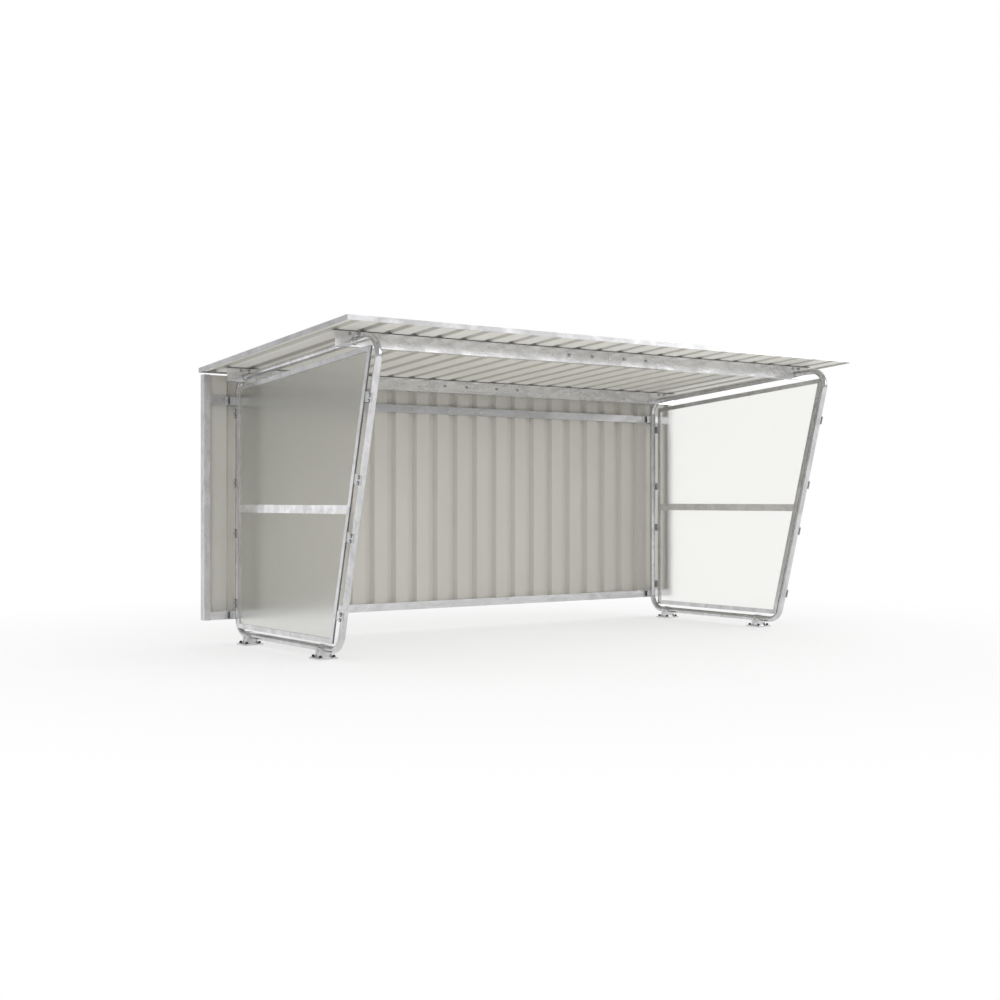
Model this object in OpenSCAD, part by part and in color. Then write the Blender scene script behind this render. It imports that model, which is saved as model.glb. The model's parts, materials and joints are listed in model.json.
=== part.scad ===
// Open-fronted bicycle shelter: two closed loops of bent tube carry a mono-pitch roof and a
// back wall of ribbed sheet, and each loop holds a two-pane side panel. All sizes are in mm.
// X runs along the length, Y to the back, Z up; the origin is on the ground at the centre.

/* [Overall] */
// Length of the roof and the back wall, left to right
roof_length = 4830; // [4000:10:5800]
// Depth of the roof, front edge to rear edge
roof_depth = 2330; // [1940:10:2800]
// Height of the roof's front edge
front_height = 2290; // [1900:10:2750]
// Fall of the roof towards the back, in degrees
roof_pitch = 4.1; // [2:0.1:7]
// End of the roof to the side frame's centre line
frame_inset = 270; // [200:5:500]

/* [Side frames] */
// Outside diameter of the bent tube
tube_d = 48.3; // [40:0.1:60.3]
// Centre-line radius of each bend
bend_r = 130; // [105:1:138]
// Height of the bottom rail's centre line
rail_height = 73; // [60:1:110]
// Forward lean of the front post, in degrees
post_lean = 14.7; // [5:0.1:18]
// Roof edge to the corner where post and rail centre lines meet, at the front
front_inset = 27; // [20:1:120]
// Roof edge to the rear post's centre line
rear_inset = 137; // [125:1:200]
// Underside of the roof sheet to the top rail's centre line
rail_drop = 71; // [60:1:75]

/* [Feet] */
// Front foot's centre to the bottom rail's front corner
foot_in_front = 233; // [190:1:400]
// Rear foot's centre to the bottom rail's rear corner
foot_in_rear = 207; // [190:1:400]
// Side of the square base plate
plate_size = 150; // [130:5:200]
// Thickness of the base plate
plate_t = 10; // [6:1:12]
// Anchor hole spacing, both ways
anchor_spacing = 105; // [100:1:110]
// Anchor hole diameter
anchor_hole_d = 13; // [9:1:14]

/* [Side panels] */
// Gap between the panel and the rear post
panel_gap_rear = 25; // [14:1:40]
// Gap between the panel and the front post
panel_gap_front = 37; // [25:1:100]
// Gap between the panel and the top rail
panel_gap_top = 44; // [20:1:80]
// Gap between the panel and the bottom rail
panel_gap_bottom = 21; // [14:1:40]
// Thickness of the panel frame
panel_t = 14; // [12:1:20]
// Width of the panel frame's face
panel_member_w = 36; // [32:1:45]
// Height of the middle bar
mid_bar_h = 60; // [50:1:80]
// Middle of the panel to the middle bar, downwards
mid_bar_drop = 8; // [0:1:200]
// Thickness of each pane
pane_t = 4; // [3:0.5:6]
// Height of a clip plate
clip_h = 66; // [45:1:80]

/* [Sheets] */
// Rib spacing of the ribbed sheet
rib_pitch = 207; // [170:1:250]
// Depth of a rib of the roof
rib_h = 18; // [14:1:25]
// Depth of a rib of the back wall
wall_rib_h = 35; // [28:1:38]
// Middle rib of the roof, off the shelter's middle
roof_rib_shift = -27; // [-30:1:30]
// Sheet thickness
sheet_t = 0.8; // [0.6:0.1:1.2]
// Height of the back wall's lower edge
wall_bottom = 179; // [150:1:260]
// Drop from the roof's rear edge to the back wall's upper edge
wall_drop = 55; // [45:1:300]

/* [Rails under the sheets] */
// Underside of the top rail to the lower edge of a purlin
purlin_below = 15; // [13:1:35]
// End of the roof to the purlin's end
purlin_inset = 120; // [60:5:180]
// Roof's front edge to the front purlin, along the slope
front_purlin_in = 385; // [250:1:450]
// Roof's rear edge to the rear purlin, along the slope
rear_purlin_in = 257; // [257:1:320]
// Where the purlin halves meet, measured from the middle
splice_x = 70; // [-150:5:150]
// Height of a girt's web
girt_h = 65; // [55:1:80]

/* [Hidden] */
$fn = 64;
seat = 0.2;
weld_proud = 0.8;
tube_r = tube_d / 2;
half_len = roof_length / 2;
frame_x = half_len - frame_inset;
purlin_end = half_len - purlin_inset;
slope = tan(roof_pitch);

// Flashing around the roof: a sheet angle, one leg on the rib crests and one hanging down.
flash_t = 1.5;
flash_top = 60;
flash_drop = 35;

// Ribs: half widths at the foot and at the crest, and how far a lap stands off.
rib_foot = 40;
wall_rib_foot = 44;
rib_crest = 20;
roof_rib = [rib_h, rib_foot];
wall_rib = [wall_rib_h, wall_rib_foot];
lap_off = sheet_t + seat;
edge_clear = 3;
sheet_count = 5;

// Roof levels, square to the slope and measured down from the flashing's top.
roof_start = -roof_depth / 2 + flash_drop * sin(roof_pitch);
slope_length = (roof_depth - flash_drop * sin(roof_pitch)) / cos(roof_pitch);
pan_z = -(flash_t + 0.1 + sheet_t + lap_off + rib_h);
purlin_top_z = pan_z - seat;
rail_z = pan_z - rail_drop;

// Purlin channel, and the cleats that hold it on the rails.
purlin_h = rail_drop + tube_r + purlin_below;
purlin_t = 3;
purlin_flange = 45;
purlin_hole_d = tube_d + 8;
cleat_w = 80;
cleat_d = 38;
cleat_t = 4;
cleat_z = rail_z + tube_r + weld_proud / 2;
cleat_h = purlin_top_z - purlin_t - cleat_z - 3;
splice_half = 420;
splice_h = 76;
splice_t = 4;
rear_purlin_y = slope_length - rear_purlin_in;

// Side frame corners, as (Y, Z) of the centre lines.
rail_top_0 = front_height + rail_z / cos(roof_pitch) - slope * (roof_depth / 2);
rear_y = roof_depth / 2 - rear_inset;
front_y = -roof_depth / 2 + front_inset;
lean = tan(post_lean);
top_front = [front_y, rail_top_0 - slope * front_y];
top_rear = [rear_y, rail_top_0 - slope * rear_y];
low_rear = [rear_y, rail_height];
low_front = [front_y + lean * (top_front[1] - rail_height), rail_height];
loop = [low_front, low_rear, top_rear, top_front];

// Weld rings between the straights and the bends, and the angle trimmed off a bend's end.
weld_w = 4;
weld_trim = 0.2;

// Feet.
foot_ys = [low_front[0] + foot_in_front, low_rear[0] - foot_in_rear];
block_w = 90;
block_d = 74;
strap_t = 5;
strap_d = 60;
saddle_r = tube_r + seat;

// Back wall: hung below the roof's rear edge. Girts sit behind the rear posts, the sheet behind the girts.
bracket_t = 4;
girt_y = rear_y + tube_r + weld_proud + bracket_t + seat;
girt_t = 2;
girt_d = 30;
wall_y = girt_y + girt_d + seat;
wall_back = wall_y + wall_rib_h + lap_off + sheet_t;
wall_top = front_height - slope * roof_depth - wall_drop;
low_girt_z = wall_bottom + girt_h / 2 + 1;
up_girt_z = wall_top - 197;
channel_w = 136;
bracket_ear = 31;
trim_face = 48;
trim_t = 1.5;
sleeve_half = 194;

// Side panel: a thin frame level with the clip plates on the loop's outer side.
groove = 8;
slot_w = 8;
slot_depth = 18;
clip_t = 4;
clip_past = 25;
clip_in = 195;
panel_x = frame_x + tube_r + clip_t / 2;

zinc = "Silver";
white_sheet = "Gainsboro";
glass = "LightCyan";

// ---- helpers ----

// Draws a (Y, Z) outline and pulls it along X from x0 to x1.
module along_x(x0, x1) {
    translate([x0, 0, 0])
        rotate([90, 0, 90])
            linear_extrude(x1 - x0)
                children();
}

// Puts its children in the roof's sloping frame: Y down the slope, Z square to it.
module on_roof() {
    translate([0, roof_start, front_height])
        rotate([-roof_pitch, 0, 0])
            children();
}

// Mirrors its children to the right-hand end.
module to_right() {
    mirror([1, 0, 0])
        children();
}

function unit(a, b) = (b - a) / norm(b - a);
function left_of(u) = [-u[1], u[0]];
function turn(i) = let (n = len(loop))
    acos(unit(loop[(i + n - 1) % n], loop[i]) * unit(loop[i], loop[(i + 1) % n]));
function bend_cut(i) = bend_r * tan(turn(i) / 2);

// Where two lines cross, each given by a point and a direction.
function cross_at(p, u, q, v) = p + u * (cross(q - p, v) / cross(u, v));

// The tube loop's outline moved inwards by a distance for each side, in loop order.
function inset_loop(d) = [for (i = [0:3])
    let (a = loop[(i + 3) % 4], b = loop[i], c = loop[(i + 1) % 4],
         u = unit(a, b), v = unit(b, c))
    cross_at(b + left_of(u) * d[(i + 3) % 4], u, b + left_of(v) * d[i], v)];

panel_gaps = [panel_gap_bottom, panel_gap_rear, panel_gap_top, panel_gap_front];
function panel_outline(more) = inset_loop([for (g = panel_gaps) tube_r + g + more]);

// The middle bar sits near half height; clips stand off from it and from the panel's ends.
mid_z = (panel_outline(0)[1][1] + panel_outline(0)[2][1]) / 2 - mid_bar_drop;
clip_far = (panel_outline(0)[2][1] - panel_outline(0)[1][1]) / 2 - clip_in;

// A panel corner that would come too near the bend beside it is cut off to clear it.
bend_clear = bend_r - sqrt(pow(tube_r, 2) - pow(tube_r + clip_t / 2 - panel_t / 2, 2)) - 2;
function bend_centre(i) = let (u = unit(loop[(i + 3) % 4], loop[i]))
    loop[i] - u * bend_cut(i) + left_of(u) * bend_r;
function clear_point(p, v, c) = p + v * ((c - p) * v - sqrt(pow(bend_clear, 2) - pow(cross(c - p, v), 2)));
function cut_corner(o, i) = let (c = bend_centre(i), p = o[i])
    norm(p - c) < bend_clear ? [p]
    : [clear_point(p, unit(p, o[(i + 3) % 4]), c), clear_point(p, unit(p, o[(i + 1) % 4]), c)];
function cut_corners(o) = [for (i = [0:3]) for (p = cut_corner(o, i)) p];

// The part of a panel outline between two heights.
function front_at(o, z) = cross_at(o[3], o[0] - o[3], [0, z], [1, 0]);
function rear_at(o, z) = cross_at(o[1], o[2] - o[1], [0, z], [1, 0]);
function below(o, z) = [o[0], o[1], rear_at(o, z), front_at(o, z)];
function above(o, z) = [front_at(o, z), rear_at(o, z), o[2], o[3]];

// ---- side frames ----

// Bends and straights end inside a low weld ring, so the loop is one piece.
module bent_loop() {
    rotate([90, 0, 90])
        for (i = [0:3]) {
            a = loop[(i + 3) % 4];
            b = loop[i];
            c = loop[(i + 1) % 4];
            u = unit(a, b);
            v = unit(b, c);
            translate(concat(bend_centre(i), 0))
                rotate([0, 0, atan2(-u[0], u[1]) + weld_trim])
                    rotate_extrude(angle = turn(i) - weld_trim * 2)
                        translate([bend_r, 0])
                            circle(d = tube_d);
            run = norm(c - b) - bend_cut(i) - bend_cut((i + 1) % 4);
            start = b + v * (bend_cut(i) + seat);
            along(start, v)
                cylinder(h = run - seat * 2, d = tube_d);
            for (end = [bend_cut(i), bend_cut(i) + run])
                along(b + v * (end - weld_w / 2), v)
                    cylinder(h = weld_w, d = tube_d + weld_proud);
        }
}

// Stands its children's Z axis along direction v at point p of the loop's plane.
module along(p, v) {
    translate([p[0], p[1], 0])
        rotate([0, 90, atan2(v[1], v[0])])
            children();
}

module left_side_frame() {
    color(zinc)
        translate([-frame_x, 0, 0])
            bent_loop();
}

module right_side_frame() {
    color(zinc)
        translate([frame_x, 0, 0])
            bent_loop();
}

// ---- feet ----

// Base plate with four anchor holes and an upright block with a half-round seat for the rail.
module foot(x, y) {
    color(zinc)
        translate([x, y, 0])
            difference() {
                union() {
                    translate([-plate_size / 2, -plate_size / 2, 0])
                        cube([plate_size, plate_size, plate_t]);
                    translate([-block_w / 2, -block_d / 2, plate_t / 2])
                        cube([block_w, block_d, rail_height - plate_t / 2]);
                }
                for (sx = [-1, 1], sy = [-1, 1])
                    translate([sx * anchor_spacing / 2, sy * anchor_spacing / 2, -1])
                        cylinder(h = plate_t + 2, d = anchor_hole_d);
                translate([0, block_d, rail_height])
                    rotate([90, 0, 0])
                        cylinder(h = block_d * 2, r = saddle_r);
            }
}

// Half-round strap over the rail, with a flat ear on each side.
module rail_strap(x, y) {
    translate([x, y + strap_d / 2, rail_height + 0.1])
        rotate([90, 0, 0])
            linear_extrude(strap_d)
                difference() {
                    union() {
                        circle(r = saddle_r + strap_t);
                        translate([-block_w / 2, 0])
                            square([block_w, strap_t]);
                    }
                    circle(r = saddle_r);
                    translate([-block_w, -block_w])
                        square([block_w * 2, block_w]);
                }
}

module left_front_foot() { foot(-frame_x, foot_ys[0]); }
module left_rear_foot() { foot(-frame_x, foot_ys[1]); }
module right_front_foot() { foot(frame_x, foot_ys[0]); }
module right_rear_foot() { foot(frame_x, foot_ys[1]); }

module rail_straps() {
    color(zinc)
        for (x = [-frame_x, frame_x], y = foot_ys)
            rail_strap(x, y);
}

// ---- side panels ----

// Mitred frame: a groove inside holds the panes, a slot all round outside takes the clips.
module panel_frame() {
    difference() {
        along_x(-panel_t / 2, panel_t / 2)
            difference() {
                polygon(cut_corners(panel_outline(0)));
                polygon(panel_outline(panel_member_w));
            }
        along_x(-slot_w / 2, slot_w / 2)
            difference() {
                polygon(panel_outline(-1));
                polygon(panel_outline(slot_depth));
            }
        along_x(-pane_t / 2 - seat, pane_t / 2 + seat)
            polygon(panel_outline(panel_member_w - groove));
    }
}

// Middle bar: grooved above and below for the panes, with a narrow line along each face.
module panel_bar() {
    inner = panel_outline(panel_member_w + seat);
    low = mid_z - mid_bar_h / 2;
    high = mid_z + mid_bar_h / 2;
    line_d = 3;
    line_h = 4;
    difference() {
        along_x(-panel_t / 2, panel_t / 2)
            polygon([front_at(inner, low), rear_at(inner, low), rear_at(inner, high), front_at(inner, high)]);
        for (z = [low - 1, high - groove])
            translate([-pane_t / 2 - seat, front_y, z])
                cube([pane_t + seat * 2, roof_depth, groove + 1]);
        for (x = [-panel_t / 2 - 1, panel_t / 2 - line_d])
            translate([x, front_y, mid_z - line_h / 2])
                cube([line_d + 1, roof_depth, line_h]);
    }
}

module lower_pane() {
    edge = panel_outline(panel_member_w - groove + seat);
    along_x(-pane_t / 2, pane_t / 2)
        polygon(below(edge, mid_z - mid_bar_h / 2 + groove - seat));
}

module upper_pane() {
    edge = panel_outline(panel_member_w - groove + seat);
    along_x(-pane_t / 2, pane_t / 2)
        polygon(above(edge, mid_z + mid_bar_h / 2 - groove + seat));
}

module left_panel_frame() { color(zinc) translate([-panel_x, 0, 0]) panel_frame(); }
module right_panel_frame() { color(zinc) translate([panel_x, 0, 0]) panel_frame(); }
module left_panel_bar() { color(zinc) translate([-panel_x, 0, 0]) panel_bar(); }
module right_panel_bar() { color(zinc) translate([panel_x, 0, 0]) panel_bar(); }
module left_lower_pane() { color(glass) translate([-panel_x, 0, 0]) lower_pane(); }
module left_upper_pane() { color(glass) translate([-panel_x, 0, 0]) upper_pane(); }
module right_lower_pane() { color(glass) translate([panel_x, 0, 0]) lower_pane(); }
module right_upper_pane() { color(glass) translate([panel_x, 0, 0]) upper_pane(); }

// Flat clip plates on the outer side, from each post across the gap into the panel's slot.
module clip_set() {
    reach_rear = tube_r + panel_gap_rear + slot_depth - seat;
    reach_front = tube_r + panel_gap_front + slot_depth - seat;
    for (dz = [-clip_far, -clip_in, clip_in, clip_far]) {
        z = mid_z + dz;
        translate([-frame_x - tube_r - clip_t, rear_y - reach_rear, z - clip_h / 2])
            cube([clip_t, reach_rear + clip_past, clip_h]);
        translate([-frame_x - tube_r - clip_t, low_front[0] - lean * (z - rail_height), z])
            rotate([post_lean, 0, 0])
                translate([0, -clip_past, -clip_h / 2])
                    cube([clip_t, reach_front + clip_past, clip_h]);
    }
}

module left_panel_clips() { color(zinc) clip_set(); }
module right_panel_clips() { color(zinc) to_right() clip_set(); }

// ---- purlins ----

// Channel with its web to the front, drilled where the two top rails pass through it.
module purlin(y, x0, x1) {
    on_roof()
        difference() {
            translate([0, y, purlin_top_z])
                along_x(x0, x1)
                    polygon([[0, 0], [purlin_flange, 0], [purlin_flange, -purlin_t],
                             [purlin_t, -purlin_t], [purlin_t, purlin_t - purlin_h],
                             [purlin_flange, purlin_t - purlin_h], [purlin_flange, -purlin_h],
                             [0, -purlin_h]]);
            for (x = [-frame_x, frame_x])
                if (x > x0 && x < x1)
                    translate([x, y + 10, rail_z])
                        rotate([90, 0, 0])
                            cylinder(h = 20, d = purlin_hole_d);
        }
}

module front_purlin_left() { color(zinc) purlin(front_purlin_in, -purlin_end, splice_x - 1); }
module front_purlin_right() { color(zinc) purlin(front_purlin_in, splice_x + 1, purlin_end); }
module rear_purlin_left() { color(zinc) purlin(rear_purlin_y, -purlin_end, splice_x - 1); }
module rear_purlin_right() { color(zinc) purlin(rear_purlin_y, splice_x + 1, purlin_end); }

// Flat plates behind the webs that join the purlin halves.
module purlin_splices() {
    color(zinc)
        on_roof()
            for (y = [front_purlin_in, rear_purlin_y])
                translate([splice_x - splice_half, y + purlin_t, purlin_top_z - (purlin_h + splice_h) / 2])
                    cube([splice_half * 2, splice_t, splice_h]);
}

// Angle cleats: one leg behind the purlin's web, one leg on top of the rail.
module rail_cleats() {
    color(zinc)
        on_roof()
            for (x = [-frame_x, frame_x], y = [front_purlin_in, rear_purlin_y])
                translate([x - cleat_w / 2, y + purlin_t, cleat_z]) {
                    cube([cleat_w, cleat_t, cleat_h]);
                    cube([cleat_w, cleat_d, cleat_t]);
                }
}

// ---- ribbed sheets ----

// A rib is given as [depth, half width at the foot].
function rise(rib) = (rib[1] - rib_crest) / rib[0];
function shift(rib, d) = d * tan(atan(1 / rise(rib)) / 2);

// One rib seen from below, moved outwards by d.
function rib_line(rib, x, d) = [[x - rib[1] - shift(rib, d), d],
    [x - rib_crest - shift(rib, d), rib[0] + d],
    [x + rib_crest + shift(rib, d), rib[0] + d],
    [x + rib[1] + shift(rib, d), d]];

// First rib of a sheet that laps over its neighbour: starts on the neighbour's pan.
function lap_line(rib, x, d, base) = [[x - rib[1] - 14, lap_off + d],
    [x - rib[1] - shift(rib, lap_off + d), lap_off + d],
    [x - rib_crest - shift(rib, lap_off + d), rib[0] + lap_off + d],
    [x + rib_crest + shift(rib, lap_off + d), rib[0] + lap_off + d],
    [x + rib_crest + shift(rib, lap_off + d) + (rib[0] + lap_off) * rise(rib), base]];

// Last rib of a sheet that goes under its neighbour: stops part way down.
function under_line(rib, x, d) = [[x - rib[1] - shift(rib, d), d],
    [x - rib_crest - shift(rib, d), rib[0] + d],
    [x + rib_crest + shift(rib, d), rib[0] + d],
    [x + rib_crest + shift(rib, d) + (rib[0] + d - 4) * rise(rib), 4]];

function flat2(list) = [for (a = list) for (b = a) b];
function flip(list) = [for (i = [len(list) - 1:-1:0]) list[i]];

// One surface of sheet number s, from rib index a to rib index b; ribs at (i + off) * pitch.
function sheet_side(rib, s, a, b, off, d) = flat2([
    s == 0 ? [[-half_len + edge_clear, d]] : lap_line(rib, (a + off) * rib_pitch, d, d),
    [for (i = [(s == 0 ? a : a + 1):(s == sheet_count - 1 ? b : b - 1)])
        for (p = rib_line(rib, (i + off) * rib_pitch, d)) p],
    s == sheet_count - 1 ? [[half_len - edge_clear, d]]
        : under_line(rib, (b + off) * rib_pitch, d)]);

function first_rib(off) = -floor((half_len - wall_rib_foot - 16) / rib_pitch + off);
function last_rib(off) = floor((half_len - wall_rib_foot - 16) / rib_pitch - off);
function per_sheet(off) = ceil((last_rib(off) - first_rib(off) + 1) / sheet_count);
function lap_rib(off, s) = s == 0 ? first_rib(off)
    : s == sheet_count ? last_rib(off) : first_rib(off) + s * per_sheet(off) - 1;

module sheet_outline(rib, s, off) {
    a = lap_rib(off, s);
    b = lap_rib(off, s + 1);
    polygon(concat(sheet_side(rib, s, a, b, off, 0), flip(sheet_side(rib, s, a, b, off, sheet_t))));
}

module roof_sheet(s) {
    color(white_sheet)
        on_roof()
            translate([0, slope_length - edge_clear, pan_z])
                rotate([90, 0, 0])
                    linear_extrude(slope_length - edge_clear * 2)
                        sheet_outline(roof_rib, s, roof_rib_shift / rib_pitch);
}

module wall_sheet(s) {
    color(white_sheet)
        translate([0, wall_y, wall_top])
            mirror([0, 0, 1])
                linear_extrude(wall_top - wall_bottom)
                    sheet_outline(wall_rib, s, 0.5);
}

module roof_sheet_1() { roof_sheet(0); }
module roof_sheet_2() { roof_sheet(1); }
module roof_sheet_3() { roof_sheet(2); }
module roof_sheet_4() { roof_sheet(3); }
module roof_sheet_5() { roof_sheet(4); }
module wall_sheet_1() { wall_sheet(0); }
module wall_sheet_2() { wall_sheet(1); }
module wall_sheet_3() { wall_sheet(2); }
module wall_sheet_4() { wall_sheet(3); }
module wall_sheet_5() { wall_sheet(4); }

// ---- roof flashings ----

module front_flashing() {
    color(zinc)
        on_roof()
            along_x(-half_len, half_len)
                polygon([[0, 0], [flash_top, 0], [flash_top, -flash_t], [flash_t, -flash_t],
                         [flash_t, -flash_drop], [0, -flash_drop]]);
}

module rear_flashing() {
    color(zinc)
        on_roof()
            translate([0, slope_length, 0])
                along_x(-half_len, half_len)
                    polygon([[0, 0], [-flash_top, 0], [-flash_top, -flash_t], [-flash_t, -flash_t],
                             [-flash_t, -flash_drop], [0, -flash_drop]]);
}

// Side flashing: the hanging leg meets the front and rear ones, the top leg stops short of them.
module side_flashing() {
    on_roof() {
        translate([-half_len, flash_t + seat, -flash_drop])
            cube([flash_t, slope_length - (flash_t + seat) * 2, flash_drop - flash_t - seat]);
        translate([-half_len, flash_top + seat, -flash_drop])
            cube([flash_t, slope_length - (flash_top + seat) * 2, flash_drop]);
        translate([-half_len, flash_top + seat, -flash_t])
            cube([flash_top, slope_length - (flash_top + seat) * 2, flash_t]);
    }
}

module left_flashing() { color(zinc) side_flashing(); }
module right_flashing() { color(zinc) to_right() side_flashing(); }

// ---- back wall rails ----

// Channel with its web to the front and its flanges against the sheet.
module girt(z, x0, x1) {
    color(zinc)
        translate([0, girt_y, z])
            along_x(x0, x1)
                polygon([[0, -girt_h / 2], [0, girt_h / 2], [girt_d, girt_h / 2],
                         [girt_d, girt_h / 2 - girt_t], [girt_t, girt_h / 2 - girt_t],
                         [girt_t, girt_t - girt_h / 2], [girt_d, girt_t - girt_h / 2],
                         [girt_d, -girt_h / 2]]);
}

girt_end = half_len - trim_t - 2;
module upper_girt_left() { girt(up_girt_z, -girt_end, -1); }
module upper_girt_right() { girt(up_girt_z, 1, girt_end); }
module lower_girt() { girt(low_girt_z, -girt_end, girt_end); }

// Cover plate over the joint between the upper girt's halves.
module girt_sleeve() {
    color(zinc)
        translate([-sleeve_half, girt_y - girt_t, up_girt_z - girt_h / 2])
            cube([sleeve_half * 2, girt_t, girt_h]);
}

// Short open-ended channel around the back half of a post, with a flat ear each side on the girt.
module girt_bracket(x, z) {
    h = girt_h - 4;
    d = tube_r + weld_proud + bracket_t;
    full_w = channel_w + bracket_ear * 2;
    translate([x, rear_y, z])
        difference() {
            union() {
                translate([-channel_w / 2, 0, -h / 2])
                    cube([channel_w, d, h]);
                translate([-full_w / 2, d - bracket_t, -h / 2])
                    cube([full_w, bracket_t, h]);
            }
            translate([-full_w, bracket_t, bracket_t - h / 2])
                cube([full_w * 2, d - bracket_t * 2, h - bracket_t * 2]);
            translate([0, 0, -h])
                cylinder(h = h * 2, r = tube_r + weld_proud);
        }
}

module girt_brackets() {
    color(zinc)
        for (x = [-frame_x, frame_x], z = [low_girt_z, up_girt_z])
            girt_bracket(x, z);
}

// Angle trim down each end of the back wall, over the girt ends and the sheet's edge.
module wall_trim() {
    translate([0, 0, wall_bottom])
        linear_extrude(wall_top - wall_bottom)
            polygon([[-half_len, girt_y - trim_t - seat], [trim_face - half_len, girt_y - trim_t - seat],
                     [trim_face - half_len, girt_y - seat], [trim_t - half_len, girt_y - seat],
                     [trim_t - half_len, wall_back], [-half_len, wall_back]]);
}

module left_wall_trim() { color(zinc) wall_trim(); }
module right_wall_trim() { color(zinc) to_right() wall_trim(); }

left_side_frame();
right_side_frame();
left_front_foot();
left_rear_foot();
right_front_foot();
right_rear_foot();
rail_straps();
left_panel_frame();
right_panel_frame();
left_panel_bar();
right_panel_bar();
left_lower_pane();
left_upper_pane();
right_lower_pane();
right_upper_pane();
left_panel_clips();
right_panel_clips();
front_purlin_left();
front_purlin_right();
rear_purlin_left();
rear_purlin_right();
purlin_splices();
rail_cleats();
roof_sheet_1();
roof_sheet_2();
roof_sheet_3();
roof_sheet_4();
roof_sheet_5();
front_flashing();
rear_flashing();
left_flashing();
right_flashing();
wall_sheet_1();
wall_sheet_2();
wall_sheet_3();
wall_sheet_4();
wall_sheet_5();
upper_girt_left();
upper_girt_right();
lower_girt();
girt_sleeve();
girt_brackets();
left_wall_trim();
right_wall_trim();
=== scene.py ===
import json
import math

import bmesh
import bpy
from mathutils import Matrix, Vector


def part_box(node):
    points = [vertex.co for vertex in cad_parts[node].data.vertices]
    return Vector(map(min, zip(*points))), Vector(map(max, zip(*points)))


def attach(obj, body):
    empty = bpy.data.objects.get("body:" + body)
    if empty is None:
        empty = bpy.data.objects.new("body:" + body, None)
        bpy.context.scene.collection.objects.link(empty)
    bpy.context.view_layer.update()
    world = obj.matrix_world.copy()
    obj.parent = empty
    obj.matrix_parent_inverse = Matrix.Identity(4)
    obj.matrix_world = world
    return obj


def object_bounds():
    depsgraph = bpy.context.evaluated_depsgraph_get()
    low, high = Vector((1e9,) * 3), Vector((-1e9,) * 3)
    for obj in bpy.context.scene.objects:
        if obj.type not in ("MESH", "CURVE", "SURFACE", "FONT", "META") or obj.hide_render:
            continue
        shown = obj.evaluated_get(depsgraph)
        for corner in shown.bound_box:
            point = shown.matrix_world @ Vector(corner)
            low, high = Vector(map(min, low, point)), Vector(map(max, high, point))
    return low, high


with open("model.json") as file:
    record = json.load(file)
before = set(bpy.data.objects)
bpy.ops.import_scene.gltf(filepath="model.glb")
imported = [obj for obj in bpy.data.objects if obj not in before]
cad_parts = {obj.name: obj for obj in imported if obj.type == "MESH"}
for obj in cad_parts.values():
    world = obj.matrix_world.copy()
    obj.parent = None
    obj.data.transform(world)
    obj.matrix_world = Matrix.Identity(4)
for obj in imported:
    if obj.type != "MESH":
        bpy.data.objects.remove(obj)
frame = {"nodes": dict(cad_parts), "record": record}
cad_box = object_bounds()
scene = bpy.context.scene
scene.view_settings.view_transform = "Standard"
shelter = frame["nodes"]

# ---- Where the shelter is seen from ----
# Eye height is 1.1 m, with the camera level, to the left of the open front.
# A normal lens takes in the whole shelter.
EYE = (-6.821, -8.987, 1.104)
EYE_TURN = math.radians(-35.609)
LEVEL = math.radians(90)
FILM_MM, LENS_MM = 36.0, 50.41
FARTHEST = 300.0
view = bpy.data.cameras.new("view")
view.sensor_width = FILM_MM
view.lens = LENS_MM
view.clip_end = FARTHEST
eye = bpy.data.objects.new("view", view)
eye.location = EYE
eye.rotation_euler = (LEVEL, 0, EYE_TURN)
scene.collection.objects.link(eye)
scene.camera = eye

# ---- Studio ----
# A white room that is brighter to the front right, with one small lamp far off to the right.
# Shiny pieces see a dimmer room with a bright screen high to the front and a pale low
# backdrop. The pale floor keeps the shelter's shadow and turns white further out.
WHITE = (1.0, 1.0, 1.0, 1.0)


def wire(tree, out_node, out_name, in_node, in_name):
    tree.links.new(out_node.outputs[out_name], in_node.inputs[in_name])


def joined(tree, operation, node_a, out_a, node_b, out_b):
    both = tree.nodes.new("ShaderNodeMath")
    both.operation = operation
    wire(tree, node_a, out_a, both, 0)
    wire(tree, node_b, out_b, both, 1)
    return both


def ramp(tree, node, out_name, start, end, low, high, smooth=True):
    made = tree.nodes.new("ShaderNodeMapRange")
    made.interpolation_type = "SMOOTHSTEP" if smooth else "LINEAR"
    made.inputs["From Min"].default_value = start
    made.inputs["From Max"].default_value = end
    made.inputs["To Min"].default_value = low
    made.inputs["To Max"].default_value = high
    wire(tree, node, out_name, made, "Value")
    return made


def turned_towards(tree, coord, way):
    facing = tree.nodes.new("ShaderNodeVectorMath")
    facing.operation = "DOT_PRODUCT"
    facing.inputs[1].default_value = way
    wire(tree, coord, "Generated", facing, 0)
    return facing


def white_light(tree, kind):
    light = tree.nodes.new(kind)
    light.inputs["Color"].default_value = WHITE
    return light


def chosen(tree, by, out_name, if_not, if_so):
    pick = tree.nodes.new("ShaderNodeMixShader")
    wire(tree, by, out_name, pick, 0)
    wire(tree, if_not, 0, pick, 1)
    wire(tree, if_so, 0, pick, 2)
    return pick


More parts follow.
